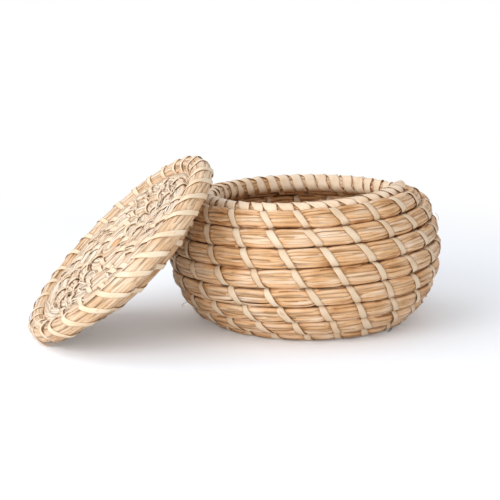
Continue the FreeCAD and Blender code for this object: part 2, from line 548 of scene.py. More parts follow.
def keepAboveFloor(tree, geometry, low):
    place = geoOut(tree, "InputPosition")
    parts = addNode(tree, "ShaderNodeSeparateXYZ", {0: place}).outputs
    higher = calc(tree, "MAXIMUM", parts[2], low)
    joined = nodeOut(tree, "ShaderNodeCombineXYZ", {0: parts[0], 1: parts[1], 2: higher})
    return geoOut(tree, "SetPosition", {"Geometry": geometry, "Position": joined})


def finishTree(tree, geometry, low, material, result):
    geometry = geoOut(tree, "RealizeInstances", {"Geometry": geometry})
    geometry = keepAboveFloor(tree, geometry, low)
    geometry = geoOut(tree, "SetShadeSmooth", {"Geometry": geometry})
    feed(tree, result, geoOut(tree, "SetMaterial", {"Geometry": geometry, "Material": material}))


def squareness(tree, cosine, sine, power):
    a, b = [calc(tree, "POWER", calc(tree, "ABSOLUTE", value), power) for value in (cosine, sine)]
    return calc(tree, "POWER", calc(tree, "ADD", a, b), calc(tree, "DIVIDE", -1.0, power))


# how the stems of a bundle differ: a rate is waves per metre, a shift or a seed sets two patterns apart
stemRules = {
    "shiftPerStem": 7.31,
    "shiftPerSeed": 53.7,
    "jitter": 0.4,            # how far a stem stands from its even place, in stems
    "wanderRate": 11.0,
    "diveRate": 24.0,
    "diveShift": 311.0,
    "diveFrom": 0.42,
    "breakRate": 5.0,
    "breakShift": 97.0,
    "breakSharp": 14.0,
    "brokenSize": 0.02,
    "size": (0.55, 1.5),
    "sizeSeed": 9,
    "tone": (0.15, 1.0),
    "toneSeed": 5,
    "jointPower": 8.0,
    "bladeSides": 4,
    "coreSides": 12,
    "coreShadeTone": -0.6,
}


def buildBundleTree():
    tree, given, result = startTree("bundle of stems", {
        "Stems": "Int", "Stem Width": "Float", "Stem Thickness": "Float", "Outward": "Float",
        "Across": "Float", "Square Power": "Float", "Nip Depth": "Float", "Nip Width": "Float",
        "Lead": "Float", "Lap Start": "Float", "Wander": "Float", "Dive": "Float", "Breaks": "Float",
        "Core": "Float", "Shade": "Float", "Seed": "Int", "Material": "Material",
    })
    rules, seed = stemRules, given["Seed"]
    path = geoOut(tree, "MeshToCurve", {0: given["Geometry"]})
    copies = addNode(tree, "GeometryNodeDuplicateElements", {"Geometry": path, "Amount": given["Stems"]},
                     domain="SPLINE").outputs
    index = copies["Duplicate Index"]
    reach, girth = [readAttribute(tree, name) for name in ("reach", "girth")]
    outward, side = [readAttribute(tree, name, "FLOAT_VECTOR") for name in ("outward", "side")]
    seedShift = times(tree, seed, rules["shiftPerSeed"])
    ownShift = calc(tree, "MULTIPLY_ADD", index, rules["shiftPerStem"], seedShift)

    # round the bundle
    jitter = randomOf(tree, -rules["jitter"], rules["jitter"], index, seed)
    share = calc(tree, "DIVIDE", calc(tree, "ADD", index, jitter), given["Stems"])
    wander = calc(tree, "SUBTRACT", ripple(tree, reach, rules["wanderRate"], ownShift), 0.5)
    angle = calc(tree, "ADD", times(tree, share, math.tau), times(tree, wander, given["Wander"]))
    cosine, sine = calc(tree, "COSINE", angle), calc(tree, "SINE", angle)

    # drawn in under the strips, whose line runs on along the bundle as it goes round
    turned = calc(tree, "WRAP", angle, calc(tree, "ADD", given["Lap Start"], math.tau), given["Lap Start"])
    stripPlace = times(tree, turned, calc(tree, "DIVIDE", given["Lead"], math.tau))
    nip = 0.0
    for name, sign in (("sinceStrip", 1.0), ("toStrip", -1.0)):
        apart = calc(tree, "MULTIPLY_ADD", readAttribute(tree, name), sign, times(tree, stripPlace, -1.0))
        apart = calc(tree, "DIVIDE", apart, given["Nip Width"])
        nip = calc(tree, "MAXIMUM", nip, calc(tree, "EXPONENT", times(tree, apart, apart, -1.0)))
    drawnIn = calc(tree, "SUBTRACT", 1.0, times(tree, nip, given["Nip Depth"]))
    # how far a stem dives into the bundle; the material also reads it to paint shade on sunk stems
    deep = ripple(tree, reach, rules["diveRate"], calc(tree, "ADD", ownShift, rules["diveShift"]))
    deep = calc(tree, "MAXIMUM", calc(tree, "SUBTRACT", deep, rules["diveFrom"]), 0.0)
    deep = times(tree, deep, given["Dive"])
    reachOut = times(tree, drawnIn, calc(tree, "SUBTRACT", 1.0, deep),
                     squareness(tree, cosine, sine, given["Square Power"]), girth)
    outPart = times(tree, reachOut, cosine, given["Outward"])
    sidePart = times(tree, reachOut, sine, given["Across"])
    offset = alongBoth(tree, (outward, side), (outPart, sidePart))
    facing = alongBoth(tree, (outward, side), (cosine, sine))

    # how thick a stem is, with the places where it stops short, and what its colour reads
    size = randomOf(tree, *rules["size"], index, calc(tree, "ADD", seed, rules["sizeSeed"]))
    whole = ripple(tree, reach, rules["breakRate"], calc(tree, "ADD", ownShift, rules["breakShift"]))
    whole = times(tree, calc(tree, "SUBTRACT", whole, given["Breaks"]), rules["breakSharp"])
    whole = calc(tree, "MINIMUM", calc(tree, "MAXIMUM", whole, rules["brokenSize"]), 1.0)
    # a mask for painted shade where courses meet, strongest at the bundle's top and bottom
    joint = calc(tree, "POWER", calc(tree, "ABSOLUTE", sine), rules["jointPower"])
    stems = copies["Geometry"]
    # nip is also stored as a mask for painted shade beside the strips
    for name, value in (
            ("tone", randomOf(tree, *rules["tone"], index, calc(tree, "ADD", seed, rules["toneSeed"]))),
            ("lane", index), ("deep", deep),
            ("nip", times(tree, nip, given["Shade"])), ("joint", times(tree, joint, given["Shade"]))):
        stems = storeAttribute(tree, stems, name, value)
    stems = geoOut(tree, "SetPosition", {"Geometry": stems, "Offset": offset})
    stems = geoOut(tree, "SetCurveNormal", {"Curve": stems, "Normal": facing}, mode="FREE")

    # a stem is a flat blade of four faces, with its low ridge outward
    blade = geoOut(tree, "CurvePrimitiveCircle", {"Resolution": rules["bladeSides"], "Radius": 1.0})
    place = geoOut(tree, "InputPosition")
    parts = addNode(tree, "ShaderNodeSeparateXYZ", {0: place}).outputs
    blade = storeAttribute(tree, blade, "blade", parts[1])
    section = {0: given["Stem Thickness"], 1: given["Stem Width"], 2: 1.0}
    section = nodeOut(tree, "ShaderNodeCombineXYZ", section)
    blade = geoOut(tree, "Transform", {"Geometry": blade, "Scale": section})
    stems = geoOut(tree, "CurveToMesh", {
        "Curve": stems, "Profile Curve": blade, "Scale": times(tree, size, whole), "Fill Caps": True,
    })

    # the imported middle of the bundle, which shows only between stems
    # the core's tone is set dark: painted shade in the gaps between stems
    core = storeAttribute(tree, path, "tone", rules["coreShadeTone"])
    core = storeAttribute(tree, core, "lane", -1.0)
    core = geoOut(tree, "SetCurveNormal", {"Curve": core, "Normal": outward}, mode="FREE")
    ring = geoOut(tree, "CurvePrimitiveCircle", {"Resolution": rules["coreSides"], "Radius": 1.0})
    ring = storeAttribute(tree, ring, "blade", 0.0)
    core = geoOut(tree, "CurveToMesh", {
        "Curve": core, "Profile Curve": ring, "Scale": times(tree, girth, given["Core"]), "Fill Caps": True,
    })
    both = tree.nodes.new("GeometryNodeJoinGeometry")
    tree.links.new(core, both.inputs[0])
    tree.links.new(stems, both.inputs[0])
    finishTree(tree, both.outputs[0], lowest["stems"], given["Material"], result)
    return tree


def buildStitchTree():
    tree, given, result = startTree("leaf strips", {
        "Strips": "Collection", "Kinds": "Int", "Width Spread": "Float", "Turn Spread": "Float",
        "Seed": "Int", "Material": "Material",
    })
    seed, spread = given["Seed"], given["Turn Spread"]
    heading, outward = [readAttribute(tree, name, "FLOAT_VECTOR") for name in ("heading", "outward")]
    index = geoOut(tree, "InputIndex")
    facing = nodeOut(tree, "FunctionNodeAxesToRotation", {"Primary Axis": heading, "Secondary Axis": outward},
                     primary_axis="X", secondary_axis="Y")
    swing = randomOf(tree, times(tree, spread, -1.0), spread, index, seed)
    swing = nodeOut(tree, "FunctionNodeAxisAngleToRotation", {"Axis": outward, "Angle": swing})
    facing = nodeOut(tree, "FunctionNodeRotateRotation", {"Rotation": facing, "Rotate By": swing})
    low, high = [calc(tree, operation, 1.0, given["Width Spread"]) for operation in ("SUBTRACT", "ADD")]
    wide = randomOf(tree, low, high, index, calc(tree, "ADD", seed, 1))
    wide = times(tree, wide, readAttribute(tree, "narrowed"))
    grown = readAttribute(tree, "grown")
    size = nodeOut(tree, "ShaderNodeCombineXYZ", {0: wide, 1: grown, 2: grown})
    kind = addNode(tree, "FunctionNodeRandomValue", {
        4: 0, 5: calc(tree, "SUBTRACT", given["Kinds"], 1), "ID": index, "Seed": calc(tree, "ADD", seed, 2),
    }, data_type="INT").outputs[2]
    strips = {"Collection": given["Strips"], "Separate Children": True, "Reset Children": True}
    strips = geoOut(tree, "CollectionInfo", strips)
    placed = geoOut(tree, "InstanceOnPoints", {
        "Points": given["Geometry"], "Instance": strips, "Pick Instance": True, "Instance Index": kind,
        "Rotation": facing, "Scale": size,
    })
    finishTree(tree, placed, lowest["strips"], given["Material"], result)
    return tree


def growPiece(name, mesh, tree, values):
    holder = showObject(name + "-path", mesh)
    modifier = holder.modifiers.new("grow", "NODES")
    modifier.node_group = tree
    for item in tree.interface.items_tree:
        if item.item_type == "SOCKET" and item.in_out == "INPUT" and item.name in values:
            modifier[item.identifier] = values[item.name]
    bpy.context.view_layer.update()
    grown = bpy.data.meshes.new_from_object(holder.evaluated_get(bpy.context.evaluated_depsgraph_get()))
    bpy.data.objects.remove(holder)
    grown.name = name
    return showObject(name, grown)


bundleTree = buildBundleTree()
stitchTree = buildStitchTree()
print("node trees built")


# materials

def attributeOf(tree, name):
    return addNode(tree, "ShaderNodeAttribute", attribute_name=name).outputs["Fac"]


def noiseOf(tree, place, scale, detail, roughness=0.5):
    return nodeOut(tree, "ShaderNodeTexNoise",
                   {"Vector": place, "Scale": scale, "Detail": detail, "Roughness": roughness})


def patchesOf(tree, scale):
    place = addNode(tree, "ShaderNodeTexCoord").outputs["Object"]
    return noiseOf(tree, place, scale, detail=2.0)


def addNoise(tree, noise, share, value):
    return calc(tree, "MULTIPLY_ADD", calc(tree, "SUBTRACT", noise, 0.5), share, value)


def ramp(tree, value, stops, tones):
    made = addNode(tree, "ShaderNodeValToRGB", {"Fac": value})
    cells = made.color_ramp.elements
    while len(cells) < len(stops):
        cells.new(0.5)
    for cell, place, colour in zip(cells, stops, tones):
        cell.position = place
        cell.color = (*colour, 1)
    return made.outputs["Color"]


def startMaterial(name, roughness):
    material = bpy.data.materials.new(name)
    material.use_nodes = True
    tree = material.node_tree
    shader = tree.nodes["Principled BSDF"]
    shader.inputs["Roughness"].default_value = roughness
    return material, tree, shader


def finishMaterial(tree, shader, colour, height, bump):
    tree.links.new(colour, shader.inputs["Base Color"])
    strength, distance = bump
    made = nodeOut(tree, "ShaderNodeBump", {"Height": height, "Strength": strength, "Distance": distance})
    tree.links.new(made, shader.inputs["Normal"])


straw = {
    "roughness": 0.58,
    "stops": (0.0, 0.2, 0.45, 0.72, 1.0),
    "tones": ((0.24, 0.10, 0.03), (0.49, 0.235, 0.085), (0.72, 0.43, 0.215), (0.81, 0.595, 0.41),
              (0.87, 0.73, 0.60)),
    "paleTones": ((0.42, 0.22, 0.095), (0.64, 0.41, 0.23), (0.78, 0.58, 0.40), (0.85, 0.70, 0.55),
                  (0.90, 0.81, 0.70)),
    # painted shade: the next three darken the straw beside the strips, where courses meet and where stems
    # dive into the bundle
    "nipPaintedShade": 0.28,
    "jointPaintedShade": 0.08,
    "deepPaintedShade": 4.4,
    "streaksAlong": 34.0,
    "streaksAcross": 4.4,
    "streakShift": 7.7,       # from one stem to the next
    "streakRoughness": 0.72,
    "streakShare": 0.9,
    "patchScale": 38.0,
    "patchShare": 1.0,
    "toneShare": 0.34,
    "bump": (0.35, 0.0005),
}


def strawMaterial(name, lift, tones, contrast):
    material, tree, shader = startMaterial(name, straw["roughness"])
    reach, lane, blade, tone = [attributeOf(tree, key) for key in ("reach", "lane", "blade", "tone")]
    nip, deep, joint = [attributeOf(tree, key) for key in ("nip", "deep", "joint")]
    along = times(tree, reach, straw["streaksAlong"])
    shift = times(tree, lane, straw["streakShift"])
    across = calc(tree, "MULTIPLY_ADD", blade, straw["streaksAcross"], shift)
    place = nodeOut(tree, "ShaderNodeCombineXYZ", {0: along, 1: across, 2: lane})
    streaks = noiseOf(tree, place, scale=1.0, detail=4.0, roughness=straw["streakRoughness"])
    value = times(tree, tone, straw["toneShare"] * contrast)
    value = addNoise(tree, streaks, straw["streakShare"] * contrast, value)
    value = addNoise(tree, patchesOf(tree, straw["patchScale"]), straw["patchShare"] * contrast, value)
    value = calc(tree, "ADD", value, lift)
    # painted shade: darker beside the strips, where stems dive in and where courses meet
    for amount, dark in ((times(tree, nip, nip), "nipPaintedShade"), (deep, "deepPaintedShade"), (joint, "jointPaintedShade")):
        value = calc(tree, "MULTIPLY_ADD", amount, -straw[dark], value)
    finishMaterial(tree, shader, ramp(tree, value, straw["stops"], tones), streaks, straw["bump"])
    return material


leaf = {
    "roughness": 0.46,
    "stops": (0.0, 0.35, 0.65, 1.0),
    "tones": ((0.40, 0.22, 0.10), (0.72, 0.53, 0.34), (0.81, 0.655, 0.475), (0.86, 0.74, 0.59)),
    "wallTones": ((0.36, 0.19, 0.085), (0.63, 0.44, 0.27), (0.71, 0.55, 0.385), (0.78, 0.65, 0.50)),
    "rimTones": ((0.40, 0.21, 0.09), (0.75, 0.52, 0.33), (0.85, 0.66, 0.475), (0.89, 0.75, 0.60)),
    "lift": 0.65,
    "edgeSharp": 12.0,
    "edgeDarkAndShade": 0.7,
    "veins": 5.5,
    "alongVeins": 45.0,
    "veinShift": 4.0,         # how far the patches set the veins apart
    "veinShare": 0.55,
    "patchScale": 55.0,
    "patchShare": 0.9,
    "bump": (0.3, 0.0004),
}


def leafMaterial(name, tones):
    material, tree, shader = startMaterial(name, leaf["roughness"])
    across, length = attributeOf(tree, "across"), attributeOf(tree, "length")
    patches = patchesOf(tree, leaf["patchScale"])
    place = nodeOut(tree, "ShaderNodeCombineXYZ", {
        0: times(tree, length, leaf["alongVeins"]), 1: times(tree, across, leaf["veins"]),
        2: times(tree, patches, leaf["veinShift"]),
    })
    veins = noiseOf(tree, place, scale=1.0, detail=3.0)
    value = addNoise(tree, veins, leaf["veinShare"], leaf["lift"])
    value = addNoise(tree, patches, leaf["patchShare"], value)
    # strips darken towards their edges: partly the leaf's own darker edges, partly painted shade along the
    # strip edges
    edge = calc(tree, "POWER", calc(tree, "ABSOLUTE", across), leaf["edgeSharp"])
    value = calc(tree, "MULTIPLY_ADD", edge, -leaf["edgeDarkAndShade"], value)
    finishMaterial(tree, shader, ramp(tree, value, leaf["stops"], tones), veins, leaf["bump"])
    return material


wallStraw = strawMaterial("wall straw", lift=0.38, tones=straw["tones"], contrast=0.85)
faceStraw = strawMaterial("lid face straw", lift=0.50, tones=straw["paleTones"], contrast=0.8)
# the lid's ring straw is the face's pale straw set darker: painted shade on the lid's edge and locating rings
lidRingShadedStraw = strawMaterial("lid edge straw", lift=0.22, tones=straw["paleTones"], contrast=0.75)
rimStraw = strawMaterial("rim straw", lift=0.38, tones=straw["tones"], contrast=0.85)
wallLeaf = leafMaterial("wall leaf strip", leaf["wallTones"])
rimLeaf = leafMaterial("rim leaf strip", leaf["rimTones"])
lidLeaf = leafMaterial("lid leaf strip", leaf["tones"])
print("materials made")


# bundles

bundleLook = {
    "Stems": 52,
    "Stem Width": 1.9 * mm,
    "Stem Thickness": 0.42 * mm,
    "Outward": 0.98,
    "Across": 1.07,
    "Square Power": 3.0,
    "Nip Depth": 0.21,
    "Nip Width": 4.2 * mm,
    "Lead": 22.0 * mm,
    "Lap Start": math.radians(-100),
    "Wander": 1.0,
    "Dive": 0.17,
    "Breaks": 0.30,
    "Core": 0.92,
    "Shade": 1.0,
    "Seed": 3,
}
faceLook = {"Stems": 40, "Wander": 1.5, "Dive": 0.35, "Across": 1.0}
wrappedLook = {"Across": 1.0, "Square Power": 2.1}
rimLook = {
    **wrappedLook, "Lead": 25.0 * mm, "Lap Start": math.radians(-262), "Nip Depth": 0.03, "Shade": 0.1,
}
ringLook = {**wrappedLook, "Lap Start": math.radians(-200), "Nip Depth": 0.02, "Shade": 0.0}
wholeTrack = (-9, 9)          # turns from before its start to past its end
farStrip = 1.0                # told to stems with no strip on one side, in metres


def storeColumn(mesh, key, values):
    if isinstance(values[0], Vector):
        layer = mesh.attributes.new(key, "FLOAT_VECTOR", "POINT")
        layer.data.foreach_set("vector", [x for v in values for x in v])
    else:
        mesh.attributes.new(key, "FLOAT", "POINT").data.foreach_set("value", values)


def pathMesh(name, track, first, last):
    slack = 1e-6
    picked = [i for i, t in enumerate(track["turns"]) if first - slack <= t <= last + slack]
    rows = [track["rows"][i] for i in picked]
    mesh = bpy.data.meshes.new(name)
    mesh.from_pydata([row[0] for row in rows], [(i, i + 1) for i in range(len(rows) - 1)], [])
    reach = [track["reach"][i] for i in picked]
    stitches = track["stitches"]
    since, until = [], []
    for place in reach:
        at = bisect.bisect_right(stitches, place)
        since.append(place - stitches[at - 1] if at > 0 else farStrip)
        until.append(stitches[at] - place if at < len(stitches) else farStrip)
    storeColumn(mesh, "reach", reach)
    storeColumn(mesh, "girth", [track["girthAt"](track["turns"][i]) * mm for i in picked])
    storeColumn(mesh, "sinceStrip", since)
    storeColumn(mesh, "toStrip", until)
    storeColumn(mesh, "outward", [row[2] for row in rows])
    storeColumn(mesh, "side", [row[3] for row in rows])
    return mesh


def makeBundle(name, track, first, last, body, node, material, changes):
    values = {**bundleLook, **changes, "Material": material}
    piece = growPiece(name, pathMesh(name, track, first, last), bundleTree, values)
    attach(piece, body)
    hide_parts(node)
    return piece


# strips: a ribbon laid once round a bundle, moving on along it as it goes; lengths in millimetres,
# angles in degrees, and how far out it lies as a share of the bundle's girth

stripLooks = {
    "wall": {
        "girth": 7.5, "out": 0.90, "across": 0.98, "width": 6.1, "shift": 11, "inner": 5.5,
        "start": -104, "sweep": 352, "bendOut": 105,
    },
    "rim": {
        "girth": 6.4, "out": 1.03, "across": 1.07, "width": 9.6, "shift": 13, "inner": 12,
        "start": -262, "sweep": 352, "bendOut": 277, "bendSide": -90,
    },
    "face": {
        "girth": 6.6, "out": 0.96, "across": 0.97, "width": 5.2, "shift": 10, "inner": 4,
        "start": -104, "sweep": 300,
    },
    "edge": {
        "girth": 8.5, "out": 0.97, "across": 0.97, "width": 4.9, "shift": 22, "inner": 6,
        "start": -262, "sweep": 346, "middle": -90, "bendSide": 95.5,
    },
    "locating": {
        "girth": 7.6, "out": 0.97, "across": 0.97, "width": 5.2, "shift": 18, "inner": 6,
        "start": -262, "sweep": 346, "middle": -90, "bendSide": 61,
    },
}
straightLook = {"middle": 0, "bendOut": 1e6, "bendSide": 1e6}
ribbon = {
    "kinds": 5, "seed": 40, "steps": 30, "acrossSteps": 4, "thick": 0.32, "lift": 0.6, "liftAcross": 0.4,
    "crown": 0.14, "power": 3.0,
    "seenSwing": 0.4, "seenEven": 0.1, "behindSwing": 0.7, "behindEven": 0.3,
    "bend": 0.7, "wave": (0.03, 0.09), "waves": 5, "endWidth": 0.55, "endRun": 3.0, "look": 0.01,
}


def ribbonMiddle(look, theta, bend):
    c, s = math.cos(theta), math.sin(theta)
    k = (abs(c) ** ribbon["power"] + abs(s) ** ribbon["power"]) ** (-1 / ribbon["power"])
    turned = theta - math.radians(look["middle"])
    over = abs(turned) - math.pi / 2       # past the seen side the strip moves on behind
    if over > 0:
        behind = ribbon["behindSwing"] * (1 - math.cos(over)) / 2 + ribbon["behindEven"] * over / math.pi
        x = math.copysign(look["shift"] / 2 + look["inner"] * behind, turned)
    else:
        even = ribbon["seenEven"] * turned / (math.pi / 2)
        x = look["shift"] * (ribbon["seenSwing"] * math.sin(turned) + even)
    x += bend * max(math.cos(turned), 0.0)
    y = (look["girth"] * look["out"] + ribbon["lift"]) * c * k
    z = (look["girth"] * look["across"] + ribbon["lift"] * ribbon["liftAcross"]) * s * k
    y -= x * x / 2 / look["bendOut"]
    z += x * x / 2 / look["bendSide"]
    return Vector((x, y, z))


def ribbonFaces(columns):
    steps, last = ribbon["steps"], columns - 1
    faces = []
    for i in range(steps):
        a, b = i * 2 * columns, (i + 1) * 2 * columns
        for j in range(last):
            faces.append((a + j, a + j + 1, b + j + 1, b + j))
            faces.append((a + columns + j, b + columns + j, b + columns + j + 1, a + columns + j + 1))
        faces.append((a, b, b + columns, a + columns))
        faces.append((a + last, a + columns + last, b + columns + last, b + last))
    for a, order in ((0, 1), (steps * 2 * columns, -1)):
        for j in range(last):
            faces.append([a + j, a + columns + j, a + columns + j + 1, a + j + 1][::order])
    return faces


def ribbonMesh(name, look, seed):
    rng = random.Random(seed)
    phase, wave = rng.uniform(0, math.tau), rng.uniform(*ribbon["wave"])
    bend = rng.uniform(-ribbon["bend"], ribbon["bend"])
    points, acrossValues, lengthValues = [], [], []
    steps, columns = ribbon["steps"], ribbon["acrossSteps"] + 1
    length = 0.0
    for i in range(steps + 1):
        theta = math.radians(look["start"] + look["sweep"] * i / steps)
        here = ribbonMiddle(look, theta, bend)
        after, earlier = [ribbonMiddle(look, theta + d, bend) for d in (ribbon["look"], -ribbon["look"])]
        ahead = (after - earlier).normalized()
        slopeOut = here.x / look["bendOut"]
        slopeSide = here.x / look["bendSide"]
        tip = slopeOut * math.cos(theta) - slopeSide * math.sin(theta)
        up = Vector((tip, math.cos(theta), math.sin(theta)))
        up = (up - ahead * up.dot(ahead)).normalized()
        wide = ahead.cross(up)
        if i:
            length += (here - before).length
        before = here
        endTaper = min(1.0, ribbon["endWidth"] + ribbon["endRun"] * min(i, steps - i) / steps)
        width = look["width"] * (1 + wave * math.sin(phase + ribbon["waves"] * theta)) * endTaper
        for surface in (1, 0):
            for j in range(columns):
                share = 2 * j / (columns - 1) - 1
                rise = ribbon["crown"] * (1 - share * share) + surface * ribbon["thick"]
                points.append((here + wide * share * width / 2 + up * rise) * mm)
                acrossValues.append(share)
                lengthValues.append(length * mm)
    mesh = bpy.data.meshes.new(name)
    mesh.from_pydata(points, [], ribbonFaces(columns))
    storeColumn(mesh, "across", acrossValues)
    storeColumn(mesh, "length", lengthValues)
    return mesh


def ribbonKinds(kind):
    group = bpy.data.collections.new(kind + " strips")
    for n in range(ribbon["kinds"]):
        name = f"{kind}-strip-{n}"
        mesh = ribbonMesh(name, {**straightLook, **stripLooks[kind]}, ribbon["seed"] + n)
        group.objects.link(bpy.data.objects.new(name, mesh))
    return group


stripGroups = {kind: ribbonKinds(kind) for kind in stripLooks}
stripLeaf = {
    "wall": wallLeaf, "rim": rimLeaf, "face": lidLeaf, "edge": lidLeaf, "locating": lidLeaf,
}

# where the photo's rim is wrapped with narrower strips
rimWraps = {"narrower": 0.38, "at": 8.45, "near": 0.09}

# strips per turn, or the step from one to the next in millimetres, and the parts of a spiral they keep to
stitching = {
    "wallPerTurn": 21.33, "rim": 43, "edge": 29, "locating": 16,
    "baseStep": 27.0, "baseFrom": 0.1, "baseTo": -0.05,
    "lidStep": 25.0, "lidFrom": 0.1, "lidTo": -0.02,
    "jitter": 0.0016, "widthSpread": 0.12, "turnSpread": math.radians(4),
}
stitchSeeds = {"base": 500, "wall": 510, "rim": 530, "face": 540, "ring": 560}


def narrowedAt(turn):
    return 1 - rimWraps["narrower"] * math.exp(-((turn - rimWraps["at"]) / rimWraps["near"]) ** 2)


def makeStitching(name, track, first, last, kind, body, node, seed):
    rng = random.Random(seed)
    turns = [t for t in track["stitchTurns"] if first <= t < last]
    jitter = stitching["jitter"]
    rows = [station(track["pointAt"], track["outwardAt"], t + rng.uniform(-jitter, jitter)) for t in turns]
    mesh = bpy.data.meshes.new(name)
    mesh.from_pydata([row[0] for row in rows], [], [])
    storeColumn(mesh, "heading", [row[1] for row in rows])
    storeColumn(mesh, "outward", [row[2] for row in rows])
    storeColumn(mesh, "grown", [track["girthAt"](t) / stripLooks[kind]["girth"] for t in turns])
    storeColumn(mesh, "narrowed", [narrowedAt(t) for t in turns])
    piece = growPiece(name, mesh, stitchTree, {
        "Strips": stripGroups[kind], "Kinds": ribbon["kinds"], "Width Spread": stitching["widthSpread"],
        "Turn Spread": stitching["turnSpread"], "Seed": seed, "Material": stripLeaf[kind],
    })
    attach(piece, body)
    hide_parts(node)
    return piece


def evenly(count, first=0):
    return [first + (i + 0.5) / count for i in range(count)]


def makeBasket():
    turns, inner = basket["turns"], basket["innerTurn"]
    knotReach = basket["knotR"] + basket["gap"] + basket["coilR"]
    baseStart = -(basket["footStartR"] - knotReach) / basket["pitch"]
    perTurn = stitching["wallPerTurn"]
    first, last = baseStart + stitching["baseFrom"], stitching["baseTo"]
    stitchTurns = byLength(basketPoint, first, last, stitching["baseStep"])
    stitchTurns += [(i + 0.5) / perTurn for i in range(int(perTurn * turns))]
    stitchTurns += evenly(stitching["rim"], turns)
    ends = [inner, *range(math.ceil(inner), turns + 1), turns + basket["rimStop"]]
    track = layTrack(basketPoint, basketOutward, basketGirth, ends, stitchTurns)
    makeBundle("base-bundle", track, inner, 0, "basket", "base_coil", wallStraw, {})
    makeStitching("base-stitching", track, inner, 0, "wall", "basket", "base_stitching",
                  stitchSeeds["base"])
    for course in range(turns):
        number = course + 1
        makeBundle(f"wall-course-{number}", track, course, number, "basket", "wall_coil", wallStraw, {})
        makeStitching(f"wall-stitching-{number}", track, course, number, "wall", "basket",
                      f"wall_stitching_{number}", stitchSeeds["wall"] + course)
    makeBundle("rim-bundle", track, turns, turns + 1, "basket", "rim_coil", rimStraw, rimLook)
    makeStitching("rim-whipping", track, turns, turns + 1, "rim", "basket", "rim_whipping",
                  stitchSeeds["rim"])
    return track


basketTrack = makeBasket()
print("basket made")


def makeLidRing(kind, centreR, radius, height, lastWord):
    ends = [-lid["scarf"], 1 + lid["scarf"]]
    count = stitching[kind]
    track = layTrack(ringPoint(centreR, height), lidOutward, ringGirth(radius), ends, evenly(count))
    look = {**ringLook, "Lead": 2 * stripLooks[kind]["shift"] * mm}
    makeBundle(f"lid-{kind}-bundle", track, *wholeTrack, "lid", f"lid_{kind}_coil", lidRingShadedStraw, look)
    makeStitching(f"lid-{kind}-stitching", track, *wholeTrack, kind, "lid", f"lid_{kind}_{lastWord}",
                  stitchSeeds["ring"] + count)


def makeLid():
    first, last = stitching["lidFrom"] - lidTurns, stitching["lidTo"]
    stitchTurns = byLength(facePoint, first, last, stitching["lidStep"])
    ends = [lidInnerTurn, *range(math.ceil(lidInnerTurn), 1), lid["runOut"]]
    face = layTrack(facePoint, lidOutward, faceGirth, ends, stitchTurns)
    makeBundle("lid-face-bundle", face, *wholeTrack, "lid", "lid_face_coil", faceStraw, faceLook)
    for ring in range(math.ceil(lidTurns)):
        makeStitching(f"lid-face-stitching-{ring + 1}", face, ring - lidTurns, ring + 1 - lidTurns, "face",
                      "lid", f"lid_face_stitching_{ring + 1}", stitchSeeds["face"] + ring)
    makeLidRing("edge", lid["edgeCentreR"], lid["edgeR"], 0.0, "whipping")
    makeLidRing("locating", lid["locatingCentreR"], lid["locatingR"], lidLocatingZ, "stitching")
    return face


faceTrack = makeLid()
print("lid made")


# loose fibres: torn stems, loops and hairs, each a thin flat ribbon, all in millimetres

fibreShape = {"endWidth": 0.35, "endShare": 0.12}


def fibreRows(points, width, thick, lie):
    rows = []
    slim, cut = fibreShape["endWidth"], fibreShape["endShare"]
    for i, here in enumerate(points):
        ahead = (points[min(i + 1, len(points) - 1)] - points[max(i - 1, 0)]).normalized()
        wide = ahead.cross(lie).normalized()
        up = wide.cross(ahead)
        narrow = slim + (1 - slim) * math.sin(math.pi * (cut + (1 - 2 * cut) * i / (len(points) - 1)))
        w, t = wide * width * narrow / 2, up * thick / 2
        rows.append([here + w, here + t, here - w, here - t])
    return rows


def addFibre(shape, points, width, thick, lie, tone):
    first = len(shape["points"])
    for row in fibreRows(points, width, thick, lie):
        shape["points"] += row
        shape["tones"] += [tone] * 4
    for i in range(len(points) - 1):
        a = first + 4 * i
        for j in range(4):
            k = (j + 1) % 4
            shape["faces"].append((a + j, a + k, a + 4 + k, a + 4 + j))
    last = first + 4 * (len(points) - 1)
    shape["faces"] += [(first + 3, first + 2, first + 1, first), (last, last + 1, last + 2, last + 3)]


def arcPoints(start, middle, end, count):
    rows = []
    for i in range(count + 1):
        t = i / count
        rows.append(start * (1 - t) ** 2 + middle * 2 * t * (1 - t) + end * t * t)
    return rows


def onBundle(track, turn, theta, lift):
    p, t, n, b = station(track["pointAt"], track["outwardAt"], turn)
    reach = track["girthAt"](turn) * mm + lift * mm
    return p + (n * math.cos(theta) + b * math.sin(theta)) * reach, t, n, b


def makeFibres(name, shape, body, material):
    mesh = bpy.data.meshes.new(name)
    points = [(p.x, p.y, max(p.z, lowest["stems"])) for p in shape["points"]]
    mesh.from_pydata(points, [], shape["faces"])
    storeColumn(mesh, "tone", shape["tones"])
    mesh.shade_smooth()
    mesh.materials.append(material)
    piece = showObject(name, mesh)
    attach(piece, body)
    return piece


lidScruff = {
    "past": 0.2, "from": 0.02, "theta": 1.0, "lift": -0.4, "sway": 1.5, "thick": 0.25, "steps": 8,
    "tone": (0.3, 1.0), "seed": 71,
}
scruffKinds = (
    {"count": 130, "length": (9, 22), "rise": (0.8, 3.0), "width": (1.4, 3.2), "swing": (0.9, 0.5), "end": 0},
    {"count": 80, "length": (8, 30), "rise": (0.3, 2.4), "width": (0.5, 1.8), "swing": (0, 0.3), "end": 1},
)


